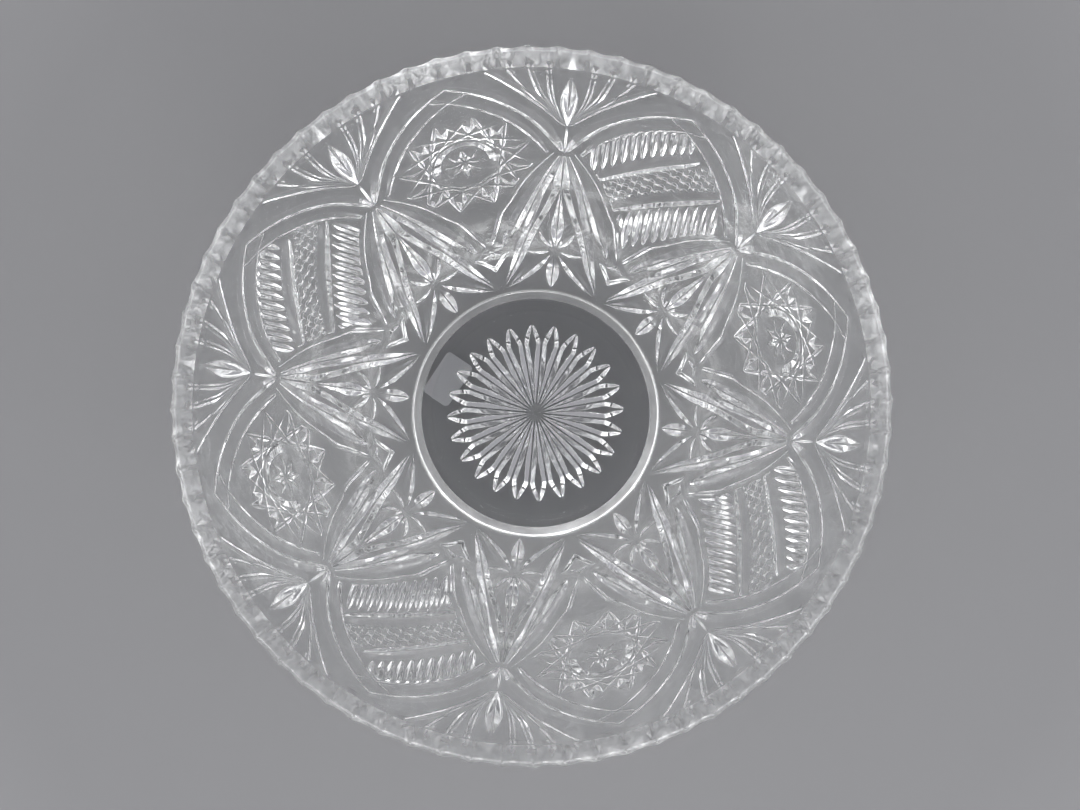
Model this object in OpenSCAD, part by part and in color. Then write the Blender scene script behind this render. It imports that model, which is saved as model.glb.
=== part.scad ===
// Cut-pattern glass punch bowl with a small blank label under its base.
// Every feature of the cut pattern is its own named piece.
// Millimetres, +Z up, origin at the centre of the foot's resting plane.
// Angles q run clockwise from +Y seen from above; s runs up the wall.

/* [Foot and base] */
// Radius where the wall pattern starts, beside the foot ring
foot_radius = 58.5; // [50:0.5:65]
// Inner radius of the foot ring
foot_inner_radius = 55; // [46:0.5:58]
// Height of the recessed base above the resting plane
base_recess = 5; // [2:0.5:8]
// Height where the smooth inner wall's outer face starts
wall_start_height = 10.4; // [8:0.2:14]
// Underside height of the inner floor
floor_height = 9.6; // [8:0.2:14]
// Number of cut rays in the base
base_rays = 24; // [16:1:32]
// Radius of the ray tips
ray_tip_radius = 43.6; // [34:0.2:50]
// Radius of the widest part of each ray
ray_shoulder_radius = 36; // [28:0.5:42]
// Depth of each ray at its widest part
ray_depth = 2.3; // [1:0.1:3.5]
// Clockwise turn of the rays against the wall pattern, degrees
ray_turn = 5.6; // [0:0.1:15]

/* [Wall shape] */
// Thickness of the smooth inner wall
wall_thickness = 4.3; // [3:0.1:7]
// Thickness of the uncut pattern layer outside it
pattern_thickness = 3.8; // [2.5:0.1:5]
// Slope of the wall beside the foot, degrees
slope_start = 12; // [5:1:25]
// Slope at the end of the tight lower curve, degrees
slope_low = 42; // [30:1:50]
// Slope at the end of the middle curve, degrees
slope_mid = 56; // [45:1:62]
// Slope at the rim, degrees
slope_rim = 66; // [60:1:75]
// Radius of the tight lower curve
curve_low = 48.5; // [35:0.5:70]
// Radius of the middle curve
curve_mid = 147; // [110:1:200]
// Radius of the upper curve
curve_high = 518; // [400:2:650]

/* [Pattern] */
// Number of arches around the bowl
arches = 8; // [8:1:8]
// Distance up the wall to the knots where the arches meet
knot_s = 83.7; // [78:0.1:88]
// Distance up the wall to the hobstar centres
hobstar_s = 82.4; // [78:0.1:88]
// Tip radius of each hobstar
hobstar_radius = 31; // [26:0.5:33]
// Number of points on each hobstar
hobstar_points = 12; // [12:1:12]
// Distance up the wall to the small star centres
gusset_star_s = 20.3; // [18:0.1:24]
// Slant of the bands across their panels, degrees from upright
band_turn = 43; // [35:1:50]
// Width of each raised nailhead
nailhead_width = 14; // [10:0.5:16]
// Height of each nailhead's peak above the pattern layer
nailhead_rise = 0.7; // [0.2:0.1:1.5]

/* [Rim] */
// Distance up the wall where the rim band starts
rim_s = 138.5; // [136:0.5:142]
// Number of small scallops around the rim
scallops = 72; // [48:8:96]
// Depth of each scallop
scallop_depth = 1.8; // [0.5:0.1:3]

/* [Label] */
// Short side of the blank label
label_width = 15; // [10:0.5:25]
// Long side of the blank label
label_length = 23; // [15:0.5:35]
// Corner radius of the label
label_corner = 2.2; // [0.5:0.1:5]
// Thickness of the label's paper
label_thickness = 0.12; // [0.08:0.01:0.3]

/* [Hidden] */
$fn = 144;
// Names of the pieces, in build order.
step_q = 360 / arches;
half_q = step_q / 2;
// Wall curve: three arcs that run into each other without a corner.
len_low = curve_low * (slope_low - slope_start) * PI / 180;
len_mid = curve_mid * (slope_mid - slope_low) * PI / 180;
len_high = curve_high * (slope_rim - slope_mid) * PI / 180;
wall_s = len_low + len_mid + len_high;
r_low = foot_radius + curve_low * (sin(slope_low) - sin(slope_start));
z_low = wall_start_height + curve_low * (cos(slope_start) - cos(slope_low));
r_mid = r_low + curve_mid * (sin(slope_mid) - sin(slope_low));
z_mid = z_low + curve_mid * (cos(slope_low) - cos(slope_mid));
cut_s = wall_s - 4.5;
skin_gap = 0.05;
H = pattern_thickness;

// Slope of the wall at distance s up it.
function slope(s) =
  s < len_low ? slope_start + s / curve_low * 180 / PI
  : s < len_low + len_mid ? slope_low + (s - len_low) / curve_mid * 180 / PI
  : slope_mid + (s - len_low - len_mid) / curve_high * 180 / PI;

// Radius of the smooth wall's outer face at s.
function wall_r(s) =
  s < len_low ? foot_radius + curve_low * (sin(slope(s)) - sin(slope_start))
  : s < len_low + len_mid ? r_low + curve_mid * (sin(slope(s)) - sin(slope_low))
  : r_mid + curve_high * (sin(slope(s)) - sin(slope_mid));

// Height of the smooth wall's outer face at s.
function wall_z(s) =
  s < len_low ? wall_start_height + curve_low * (cos(slope_start) - cos(slope(s)))
  : s < len_low + len_mid ? z_low + curve_mid * (cos(slope_low) - cos(slope(s)))
  : z_mid + curve_high * (cos(slope_mid) - cos(slope(s)));

// Profile point at s, moved h outwards from the wall.
function prof(s, h) = [wall_r(s) + h * sin(slope(s)), wall_z(s) - h * cos(slope(s))];

// Space point at angle q and distance s, moved h outwards.
function at(q, s, h) =
  let (p = prof(s, h)) [p[0] * sin(q), p[0] * cos(q), p[1]];

// Half widths, in degrees, of the pattern's regions at distance s.
function leg_edge(s) = lookup(s, [[24.3, 22.4], [33.4, 19.9], [44.5, 17.2],
  [52, 14], [68.6, 8.7], [83.7, 3.5], [84, 3.4]]);
function gusset_half(s) = s > 24.2 ? leg_edge(s)
  : lookup(s, [[0, 22.45], [3, 22.4], [9.5, 20], [16.5, 17.4], [24.2, 17.4]]);
function inner_arch(s) = lookup(s, [[83.7, 3.5], [91.7, 5.5], [103.7, 10.9],
  [116.3, 17.5], [123.6, 22.4]]);
function fan_edge(s) = lookup(s, [[102.2, 0.1], [104, 1.2], [119.2, 7.1],
  [132.2, 12], [139.4, 15.2]]);

// A curved slab of the pattern layer: rows of [s, q from, q to].
module skin(rows, cols, top) {
  n = len(rows);
  m = cols + 1;
  pts = [for (h = [skin_gap, top]) for (r = rows) for (j = [0:cols])
    let (edge = (j == 0 || j == cols) && h > 1)
    at(r[1] + (r[2] - r[1]) * j / cols, r[0], edge ? h - 0.5 : h)];
  t = n * m;
  lower = [for (i = [0:n - 2]) for (j = [0:cols - 1]) let (a = i * m + j)
    each [[a, a + m, a + 1], [a + 1, a + m, a + m + 1]]];
  upper = [for (f = lower) [f[0] + t, f[2] + t, f[1] + t]];
  ends = [for (j = [0:cols - 1]) let (b = (n - 1) * m)
    each [[j, j + 1, j + t], [j + 1, j + 1 + t, j + t],
      [b + j, b + j + t, b + j + 1], [b + j + 1, b + j + t, b + j + 1 + t]]];
  sides = [for (i = [0:n - 2]) let (a = i * m, b = a + cols)
    each [[a, a + t, a + m], [a + m, a + t, a + m + t],
      [b, b + m, b + t], [b + m, b + m + t, b + t]]];
  polyhedron(pts, concat(lower, upper, ends, sides), 2);
}

// Sideways unit step of a path, in millimetres across the wall.
function across(p, i) =
  let (a = p[max(i - 1, 0)], b = p[min(i + 1, len(p) - 1)],
    dx = (b[0] - a[0]) * wall_r(p[i][1]) * PI / 180, dy = b[1] - a[1],
    l = norm([dx, dy])) [-dy / l, dx / l];

// A vee cut along a path of [q, s, half width]; depth follows the width.
module vee(p, ratio = 0.75) {
  n = len(p);
  pts = [for (i = [0:n - 1])
    let (u = across(p, i), w = p[i][2] + 1 / ratio, r = wall_r(p[i][1]),
      dq = u[0] * w / r * 180 / PI, ds = u[1] * w)
    each [at(p[i][0] + dq, p[i][1] + ds, H + 1),
      at(p[i][0] - dq, p[i][1] - ds, H + 1),
      at(p[i][0], p[i][1], H - p[i][2] * ratio)]];
  sides = [for (i = [0:n - 2]) for (k = [0:2])
    let (a = 3 * i + k, b = 3 * i + (k + 1) % 3)
    each [[a, b, a + 3], [b, b + 3, a + 3]]];
  e = 3 * (n - 1);
  polyhedron(pts, concat([[0, 2, 1]], sides, [[e, e + 1, e + 2]]), 2);
}

// Path from star coordinates: x across and y up the wall, about s0.
function star_pt(x, y, s0, w) =
  let (s = s0 + y) [x / wall_r(s) * 180 / PI, s, w];

// Straight cut between two star points, widest in the middle.
function chord(a, b, s0, w, n = 5) = [for (i = [0:n])
  let (t = i / n, p = a + (b - a) * t)
  star_pt(p[0], p[1], s0, w * (0.1 + 0.9 * sin(180 * t)))];

// Petal cut from a star centre outwards along a heading.
function petal(heading, r0, r1, s0, w, n = 3) = [for (i = [0:n])
  let (t = i / n, d = r0 + (r1 - r0) * t)
  star_pt(d * sin(heading), d * cos(heading), s0, w * (0.12 + 0.88 * sin(180 * t)))];

// Moves a piece to its place k steps round the bowl.
module place(k) {
  rotate([0, 0, -step_q * k]) children();
}

// ---- revolved pieces -------------------------------------------------
module bowl_wall() {
  n = 18;
  outer = [for (i = [0:n]) prof(cut_s * i / n, 0)];
  inner = [for (i = [n:-1:0]) prof(cut_s * i / n, -wall_thickness)];
  color("lightcyan", 0.5) rotate_extrude() polygon(concat(
    [[0, floor_height], [foot_inner_radius, floor_height]], outer, inner,
    [[foot_inner_radius - 1, floor_height + wall_thickness],
      [0, floor_height + wall_thickness]]));
}

module base_ring() {
  color("lightcyan", 0.5) rotate_extrude() polygon([
    [ray_tip_radius + 0.4, base_recess], [foot_inner_radius, base_recess],
    [foot_inner_radius, floor_height], [ray_tip_radius + 0.4, floor_height]]);
}

// One ray of the base star, as the vee that is cut away.
module ray_cut() {
  z = base_recess - 0.01;
  w = ray_shoulder_radius * 0.078;
  pts = [[-0.3, 5, z], [0.3, 5, z], [w, ray_shoulder_radius, z], [0, ray_tip_radius, z],
    [-w, ray_shoulder_radius, z], [0, 6, z + 0.25], [0, ray_shoulder_radius, z + ray_depth]];
  polyhedron(pts, [[0, 1, 2], [0, 2, 4], [4, 2, 3], [0, 5, 1], [1, 5, 6], [1, 6, 2],
    [2, 6, 3], [3, 6, 4], [4, 6, 5], [4, 5, 0]], 2);
}

module base_star() {
  color("azure", 0.6) difference() {
    translate([0, 0, base_recess])
      cylinder(r = ray_tip_radius + 0.4, h = floor_height - base_recess, $fn = 72);
    for (i = [0:base_rays - 1])
      rotate([0, 0, -ray_turn - i * 360 / base_rays]) ray_cut();
  }
}

module foot_ring() {
  top = prof(0, 0);
  low = prof(0, H);
  color("lightcyan", 0.5) rotate_extrude() polygon([
    [foot_inner_radius, floor_height], [foot_inner_radius, 1.4],
    [foot_inner_radius + 0.5, 0.4], [foot_inner_radius + 1.3, 0],
    [low[0] - 1.1, 0], [low[0] - 0.3, 0.4], [low[0] + 0.1, 1.3], low, top]);
}

// ---- rim -------------------------------------------------------------
// Scallop shape: 0 at each cusp, 1 in the middle of each scallop.
function dip(q) = let (u = q * scallops / 360 - floor(q * scallops / 360)) 4 * u * (1 - u);

// Cross-section of the rim where the scallop is d deep, as [s, h] points.
function rim_section(d) = [[rim_s + 0.1, skin_gap], [rim_s + 0.1, H - 0.3], [rim_s + 4, H + 0.5],
  [wall_s - 3 - d, H + 1.4 - 0.2 * d], [wall_s + 0.6 - d, H - 0.4], [wall_s + 1.2 - d, 0.6],
  [wall_s + 0.8 - 0.8 * d, -2.6], [wall_s - 0.8 - 0.5 * d, -wall_thickness],
  [cut_s + 0.02, -wall_thickness], [cut_s + 0.02, skin_gap]];

module rim_band() {
  per = 2;
  n = scallops * per;
  m = 10;
  pts = [for (i = [0:n - 1]) let (q = i * 360 / n + 180 / scallops,
      d = scallop_depth * dip(i * 360 / n))
    for (c = rim_section(d)) at(q, c[0], c[1])];
  faces = [for (i = [0:n - 1]) for (k = [0:m - 1])
    let (a = i * m + k, b = i * m + (k + 1) % m, c = ((i + 1) % n) * m + k,
      e = ((i + 1) % n) * m + (k + 1) % m)
    each [[a, c, b], [b, c, e]]];
  color("lightcyan", 0.6) polyhedron(pts, faces, 2);
}

// ---- label -----------------------------------------------------------
module price_label() {
  color("white") translate([-43.8, 11, base_recess - label_thickness])
    rotate([0, 0, 63]) linear_extrude(label_thickness)
      union() {
        square([label_length, label_width - 2 * label_corner], true);
        square([label_length - 2 * label_corner, label_width], true);
        for (x = [-1, 1], y = [-1, 1])
          translate([x * (label_length / 2 - label_corner),
            y * (label_width / 2 - label_corner)]) circle(label_corner, $fn = 24);
      }
}

// ---- arch panels -----------------------------------------------------
panel_s = [24.4, 30, 38, 47, 56, 65, 74, 83.7, 91.7, 98, 103.7, 110, 116.3, 120.5, 123.4];
panel_rows = [for (s = panel_s) let (w = half_q - (s < 84 ? leg_edge(s) : inner_arch(s)))
  [s, -w, w]];

// Tip k of the hobstar, in star coordinates.
function tip(k) = let (a = 15 + k * 360 / hobstar_points) hobstar_radius * [sin(a), cos(a)];

module hobstar_panel() {
  difference() {
    skin(panel_rows, 8, H);
    for (k = [0:hobstar_points - 1])
      vee(chord(tip(k), tip(k + 4), hobstar_s, 1.5));
    for (k = [0:3])
      vee(chord(0.3 * hobstar_radius * [sin(45 * k), cos(45 * k)],
        -0.3 * hobstar_radius * [sin(45 * k), cos(45 * k)], hobstar_s, 1.1, 4));
  }
}

// Diagonal axes of the banded panel: u along the bands, v across them.
function band_xy(u, v) = [-u * sin(band_turn) + v * cos(band_turn),
  -u * cos(band_turn) - v * sin(band_turn)];

// Straight cut between two points of the banded panel.
function band_cut(a, b, w, n = 4) = [for (i = [0:n])
  let (t = i / n, p = a + (b - a) * t)
  star_pt(p[0], p[1], hobstar_s, w * (0.15 + 0.85 * sin(180 * t)))];

module band_panel() {
  rise = [-0.18, 1];
  difference() {
    skin(panel_rows, 8, H);
    vee(band_cut(band_xy(-27, -12), band_xy(28, -12), 2.4));
    vee(band_cut(band_xy(-29, 8), band_xy(32, 8), 2.4));
    for (k = [0:8])
      let (p = band_xy(-22 + 5.4 * k, -15)) vee(band_cut(p, p + rise * 9.5, 1.4, 2));
    for (k = [0:8])
      let (p = band_xy(-24 + 5.6 * k, 11)) vee(band_cut(p, p - rise * 12, 1.4, 2));
    for (k = [0:5])
      vee(band_cut(band_xy(-25 + 8.6 * k, -8.6), band_xy(-19 + 8.6 * k, 4.6), 1, 2));
    for (k = [0:5])
      vee(band_cut(band_xy(-25 + 8.6 * k, 4.6), band_xy(-19 + 8.6 * k, -8.6), 1, 2));
  }
}

// ---- arch frames: the crossed ribs over each panel ---------------------
frame_s = [83.8, 88, 92, 97, 102.2, 107, 112, 118, 124.3];
top_s = [123.6, 129, 134, rim_s];

module arch_frame() {
  low = [for (s = frame_s) [s, half_q - inner_arch(s), half_q - fan_edge(s)]];
  high = [for (s = top_s) let (w = half_q - fan_edge(s)) [s, -w, w]];
  outer = [[0.8, 87, 0.5], [2.9, 95, 1.3], [7.5, 108.5, 1.4], [14.9, 124, 1.1],
    [22.5, 135.4, 0.7]];
  inner = [[4.4, 86, 0.5], [6.4, 92.5, 0.9], [11.4, 105.8, 0.9], [17.8, 118.2, 0.8],
    [22.5, 125.2, 0.7], [25.6, 129.2, 0.5]];
  difference() {
    union() {
      skin(low, 2, H);
      skin([for (r = low) [r[0], -r[2], -r[1]]], 2, H);
      skin(high, 6, H);
    }
    for (m = [-1, 1]) {
      vee([for (p = outer) [m * (half_q - p[0]), p[1], p[2]]]);
      vee([for (p = inner) [m * (half_q - p[0]), p[1], p[2]]]);
    }
  }
}

// ---- star gussets: the legs under each knot and the star between them ---
gusset_s = [0, 3, 9.5, 16.5, 24.2, 24.35, 33.4, 44.5, 52, 60, 68.6, 76, 83.6];
module star_gusset() {
  rows = [for (s = gusset_s) [s, -gusset_half(s), gusset_half(s)]];
  near = [[0.5, 80, 0.5], [2.2, 66, 1.8], [3.6, 54, 2.4], [6.9, 39, 2.5], [13, 17.5, 1.8],
    [18.6, 6.5, 0.8], [21.6, 3, 0.3]];
  far = [[1.4, 80, 0.5], [4.6, 66, 1.5], [8.2, 52, 2], [12.6, 37, 1.9], [16.6, 26, 0.9]];
  difference() {
    skin(rows, 8, H);
    for (m = [-1, 1]) {
      vee([for (p = near) [m * p[0], p[1], p[2]]]);
      vee([for (p = far) [m * p[0], p[1], p[2]]]);
      vee(petal(m * 33, 3, 13, gusset_star_s, 1.1));
      vee(petal(m * 88, 2.5, 11.5, gusset_star_s, 0.9));
      vee([[m * 1.6, 18.2, 0.4], [m * 6, 13.5, 2], [m * 12, 7.5, 1.5], [m * 18, 3.4, 0.3]]);
    }
    vee([[0, 23, 0.3], [0, 34, 2.2], [0, 44, 1.2], [0, 56, 0.2]]);
    vee([[0, 18.5, 0.3], [0, 10, 2.6], [0, 6, 2.3], [0, 2.6, 0.2]]);
  }
}

// ---- fans ---------------------------------------------------------------
fan_s = [102.4, 106, 111, 117, 124, 131, rim_s];
module fan() {
  rows = [for (s = fan_s) [s, -fan_edge(s), fan_edge(s)]];
  difference() {
    skin(rows, 6, H);
    vee([[0, 104, 0.2], [0, 118, 2.2], [0, 126, 2.4], [0, 136, 0.3]]);
    for (m = [-1, 1]) {
      vee([[m * 1, 106, 0.2], [m * 2.9, 124, 0.9], [m * 4.3, 137, 0.3]]);
      vee([[m * 1.6, 107, 0.2], [m * 5.6, 122, 1.4], [m * 9.1, 136, 0.3]]);
      vee([[m * 4.8, 114, 0.2], [m * 8.6, 126, 0.8], [m * 12.4, 136, 0.3]]);
    }
  }
}

// ---- nailheads ------------------------------------------------------------
module nailhead() {
  w = nailhead_width / 2 / wall_r(20) * 180 / PI;
  skin([[2.2, -0.1, 0.1], [9.5, -2.4, 2.4], [17, -w, w]], 2, H - 0.4);
  pts = [for (h = [0.4, H - 1.2]) for (c = [[-w, 16.6], [w, 16.6], [w, 24.1], [-w, 24.1]])
    at(c[0], c[1], h)];
  peak = at(0, 20.3, H + nailhead_rise);
  foot = at(0, 20.3, 0.4);
  polyhedron(concat(pts, [peak, foot]), [[0, 9, 1], [1, 9, 2], [2, 9, 3], [3, 9, 0],
    [0, 1, 4], [1, 5, 4], [1, 2, 5], [2, 6, 5], [2, 3, 6], [3, 7, 6], [3, 0, 7], [0, 4, 7],
    [4, 5, 8], [5, 6, 8], [6, 7, 8], [7, 4, 8]], 2);
}

// ---- one module for each piece -----------------------------------------
module hobstar_panel_1() {
  color("azure", 0.6) place(1.5) hobstar_panel();
}
module hobstar_panel_2() {
  color("azure", 0.6) place(3.5) hobstar_panel();
}
module hobstar_panel_3() {
  color("azure", 0.6) place(5.5) hobstar_panel();
}
module hobstar_panel_4() {
  color("azure", 0.6) place(7.5) hobstar_panel();
}
module band_panel_1() {
  color("aliceblue", 0.6) place(0.5) band_panel();
}
module band_panel_2() {
  color("aliceblue", 0.6) place(2.5) band_panel();
}
module band_panel_3() {
  color("aliceblue", 0.6) place(4.5) band_panel();
}
module band_panel_4() {
  color("aliceblue", 0.6) place(6.5) band_panel();
}
module arch_frame_1() {
  color("lightcyan", 0.6) place(0.5) arch_frame();
}
module arch_frame_2() {
  color("lightcyan", 0.6) place(1.5) arch_frame();
}
module arch_frame_3() {
  color("lightcyan", 0.6) place(2.5) arch_frame();
}
module arch_frame_4() {
  color("lightcyan", 0.6) place(3.5) arch_frame();
}
module arch_frame_5() {
  color("lightcyan", 0.6) place(4.5) arch_frame();
}
module arch_frame_6() {
  color("lightcyan", 0.6) place(5.5) arch_frame();
}
module arch_frame_7() {
  color("lightcyan", 0.6) place(6.5) arch_frame();
}
module arch_frame_8() {
  color("lightcyan", 0.6) place(7.5) arch_frame();
}
module star_gusset_1() {
  color("azure", 0.6) place(0) star_gusset();
}
module star_gusset_2() {
  color("azure", 0.6) place(1) star_gusset();
}
module star_gusset_3() {
  color("azure", 0.6) place(2) star_gusset();
}
module star_gusset_4() {
  color("azure", 0.6) place(3) star_gusset();
}
module star_gusset_5() {
  color("azure", 0.6) place(4) star_gusset();
}
module star_gusset_6() {
  color("azure", 0.6) place(5) star_gusset();
}
module star_gusset_7() {
  color("azure", 0.6) place(6) star_gusset();
}
module star_gusset_8() {
  color("azure", 0.6) place(7) star_gusset();
}
module fan_1() {
  color("aliceblue", 0.6) place(0) fan();
}
module fan_2() {
  color("aliceblue", 0.6) place(1) fan();
}
module fan_3() {
  color("aliceblue", 0.6) place(2) fan();
}
module fan_4() {
  color("aliceblue", 0.6) place(3) fan();
}
module fan_5() {
  color("aliceblue", 0.6) place(4) fan();
}
module fan_6() {
  color("aliceblue", 0.6) place(5) fan();
}
module fan_7() {
  color("aliceblue", 0.6) place(6) fan();
}
module fan_8() {
  color("aliceblue", 0.6) place(7) fan();
}
module nailhead_1() {
  color("white", 0.7) place(0.5) nailhead();
}
module nailhead_2() {
  color("white", 0.7) place(1.5) nailhead();
}
module nailhead_3() {
  color("white", 0.7) place(2.5) nailhead();
}
module nailhead_4() {
  color("white", 0.7) place(3.5) nailhead();
}
module nailhead_5() {
  color("white", 0.7) place(4.5) nailhead();
}
module nailhead_6() {
  color("white", 0.7) place(5.5) nailhead();
}
module nailhead_7() {
  color("white", 0.7) place(6.5) nailhead();
}
module nailhead_8() {
  color("white", 0.7) place(7.5) nailhead();
}

// ---- the bowl ------------------------------------------------------------
bowl_wall();
base_ring();
base_star();
foot_ring();
rim_band();
price_label();
hobstar_panel_1();
hobstar_panel_2();
hobstar_panel_3();
hobstar_panel_4();
band_panel_1();
band_panel_2();
band_panel_3();
band_panel_4();
arch_frame_1();
arch_frame_2();
arch_frame_3();
arch_frame_4();
arch_frame_5();
arch_frame_6();
arch_frame_7();
arch_frame_8();
star_gusset_1();
star_gusset_2();
star_gusset_3();
star_gusset_4();
star_gusset_5();
star_gusset_6();
star_gusset_7();
star_gusset_8();
fan_1();
fan_2();
fan_3();
fan_4();
fan_5();
fan_6();
fan_7();
fan_8();
nailhead_1();
nailhead_2();
nailhead_3();
nailhead_4();
nailhead_5();
nailhead_6();
nailhead_7();
nailhead_8();
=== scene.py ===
# %% [markdown]
# # A pressed glass punch bowl
#
# This lesson builds the looks of a large punch bowl of clear pressed glass. The
# real bowl is one casting. Its outside carries a pattern of vee cuts: eight
# arches, each holding either a twelve-pointed hobstar or a banded panel, with
# legs and a small star between them, fans above, and a scalloped rim.
#
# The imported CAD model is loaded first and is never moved. Every piece below
# stands in the place of one CAD node, in metres, in the same frame.

import bpy
import numpy as np
from mathutils import Matrix, Vector


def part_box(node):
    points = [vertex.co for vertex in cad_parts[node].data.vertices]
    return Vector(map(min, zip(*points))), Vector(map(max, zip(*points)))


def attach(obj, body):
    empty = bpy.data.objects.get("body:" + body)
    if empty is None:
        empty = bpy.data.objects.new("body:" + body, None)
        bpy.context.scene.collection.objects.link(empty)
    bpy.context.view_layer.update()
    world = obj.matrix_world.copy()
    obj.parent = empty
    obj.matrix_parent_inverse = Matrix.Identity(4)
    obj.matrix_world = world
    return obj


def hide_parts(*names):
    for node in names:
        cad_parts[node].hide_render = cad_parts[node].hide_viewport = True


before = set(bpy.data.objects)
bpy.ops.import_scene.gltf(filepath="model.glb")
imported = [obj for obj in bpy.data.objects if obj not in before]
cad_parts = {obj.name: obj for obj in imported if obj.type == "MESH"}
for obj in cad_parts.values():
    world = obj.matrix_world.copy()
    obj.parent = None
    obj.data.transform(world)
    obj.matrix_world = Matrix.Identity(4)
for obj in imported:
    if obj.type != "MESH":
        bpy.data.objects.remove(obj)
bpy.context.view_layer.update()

MM = 0.001

# %% [markdown]
# ## The camera
#
# The bowl is seen from almost straight above, about a metre away. A long lens
# keeps the rim from swelling. The camera is made first, and its axes are
# worked out from where it stands, what it looks at, and a small turn.

# %% Camera
CAMERA_PLACE = Vector((20.5, -27.7, 971.5)) * MM
CAMERA_AIM = Vector((1.6, 4.2, 3.0)) * MM
CAMERA_TURN = np.radians(7)
LENS, SENSOR = 67.25, 36


def add_camera(place, aim, turn):
    """A camera at place looking at aim, with its upright turned about the view."""
    back = (place - aim).normalized()
    right = Vector((-np.sin(turn), np.cos(turn), 0)).cross(back).normalized()
    up = back.cross(right)
    data = bpy.data.cameras.new("camera")
    data.lens, data.sensor_width = LENS, SENSOR
    data.clip_start, data.clip_end = 0.01, 20
    camera = bpy.data.objects.new("camera", data)
    camera.matrix_world = Matrix((
        (right.x, up.x, back.x, place.x),
        (right.y, up.y, back.y, place.y),
        (right.z, up.z, back.z, place.z),
        (0, 0, 0, 1),
    ))
    bpy.context.scene.collection.objects.link(camera)
    bpy.context.scene.camera = camera
    return camera


add_camera(CAMERA_PLACE, CAMERA_AIM, CAMERA_TURN)
print("camera at", tuple(round(x, 3) for x in CAMERA_PLACE))

# %% [markdown]
# ## The curve of the wall
#
# The wall is one smooth curve turned about the upright axis. Three arcs run
# into each other without a corner: a tight one beside the foot, a middle one,
# and a long flat one up to the rim. A place on the glass is then given by
# three numbers: q, the angle clockwise from +Y seen from above, in degrees;
# s, the distance up the wall; and h, the height outwards from the smooth wall.
# All lengths are in millimetres until a mesh is made.

# %% Wall curve
FOOT_RADIUS = 58.5
WALL_START = 10.4
WALL_THICKNESS = 4.3
PATTERN = 3.8
SLOPES = np.radians([12, 42, 56, 66])
CURVES = np.array([48.5, 147, 518])
LENGTHS = CURVES * np.diff(SLOPES)
WALL_S = LENGTHS.sum()
ARC_START = np.concatenate([[0], np.cumsum(LENGTHS)[:2]])
ARC_R = FOOT_RADIUS + np.concatenate([[0], np.cumsum(CURVES * np.diff(np.sin(SLOPES)))[:2]])
ARC_Z = WALL_START - np.concatenate([[0], np.cumsum(CURVES * np.diff(np.cos(SLOPES)))[:2]])


def wall_curve(s):
    """Slope, radius and height of the smooth wall at distance s up it.

    On each arc the slope grows by distance over arc radius; the radius grows
    with the sine of the slope, and the height with one minus its cosine.
    """
    s = np.asarray(s, float)
    arc = (s >= ARC_START[1]).astype(int) + (s >= ARC_START[2])
    slope = SLOPES[arc] + (s - ARC_START[arc]) / CURVES[arc]
    r = ARC_R[arc] + CURVES[arc] * (np.sin(slope) - np.sin(SLOPES[arc]))
    z = ARC_Z[arc] + CURVES[arc] * (np.cos(SLOPES[arc]) - np.cos(slope))
    return slope, r, z


def section(s, h):
    """Radius and height of the point h outwards, square to the wall, at s."""
    slope, r, z = wall_curve(s)
    return r + h * np.sin(slope), z - h * np.cos(slope)


def on_wall(q, s, h):
    """Points in space, N by 3, for angle q in degrees, distance s and height h."""
    r, z = section(s, h)
    q = np.radians(q)
    return np.stack([r * np.sin(q), r * np.cos(q), z + 0 * q], -1).reshape(-1, 3)


print("wall is", round(float(WALL_S), 1), "mm from foot to rim")

# %% [markdown]
# ## Turning arrays into meshes
#
# Every surface is worked out as whole arrays. A list of face groups goes into
# the mesh in one step. Each group has a zone: AIR where the glass meets the
# air, and JOINT where a piece touches its neighbour. Edges between zones are
# marked sharp, so shading stays smooth within each zone.

# %% Mesh maker
AIR, JOINT = 0, 1


def make_piece(name, points, groups, materials):
    """An object from points in millimetres and groups of (faces array, zone)."""
    counts = np.concatenate([np.full(len(f), f.shape[1]) for f, _ in groups])
    loops = np.concatenate([f.ravel() for f, _ in groups]).astype(np.int32)
    zones = np.concatenate([np.full(len(f), zone) for f, zone in groups])
    mesh = bpy.data.meshes.new(name)
    mesh.vertices.add(len(points))
    mesh.vertices.foreach_set("co", (points * MM).astype(np.float32).ravel())
    mesh.loops.add(len(loops))
    mesh.loops.foreach_set("vertex_index", loops)
    mesh.polygons.add(len(counts))
    mesh.polygons.foreach_set("loop_start", (np.cumsum(counts) - counts).astype(np.int32))
    mesh.update(calc_edges=True)
    slots = np.minimum(zones, len(materials) - 1).astype(np.int32)
    mesh.polygons.foreach_set("material_index", slots)
    mesh.polygons.foreach_set("use_smooth", np.ones(len(counts), bool))
    edge = np.empty(len(loops), np.int32)
    mesh.loops.foreach_get("edge_index", edge)
    zone_of_loop = np.repeat(zones, counts)
    lowest = np.full(len(mesh.edges), zones.max())
    highest = np.zeros(len(mesh.edges), int)
    np.minimum.at(lowest, edge, zone_of_loop)
    np.maximum.at(highest, edge, zone_of_loop)
    mesh.edges.foreach_set("use_edge_sharp", lowest != highest)
    for material in materials:
        mesh.materials.append(material)
    piece = bpy.data.objects.new(name, mesh)
    bpy.context.scene.collection.objects.link(piece)
    return piece


def place_piece(piece, node):
    """Ties a finished piece to the bowl: it rides, and it replaces a node."""
    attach(piece, "root")
    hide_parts(node)
    return piece


# %% [markdown]
# ## Writing shader maths as expressions
#
# A small class wraps a node socket, so that sums and products of sockets read
# like sums. Any other node comes from one method of the recipe.

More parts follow.
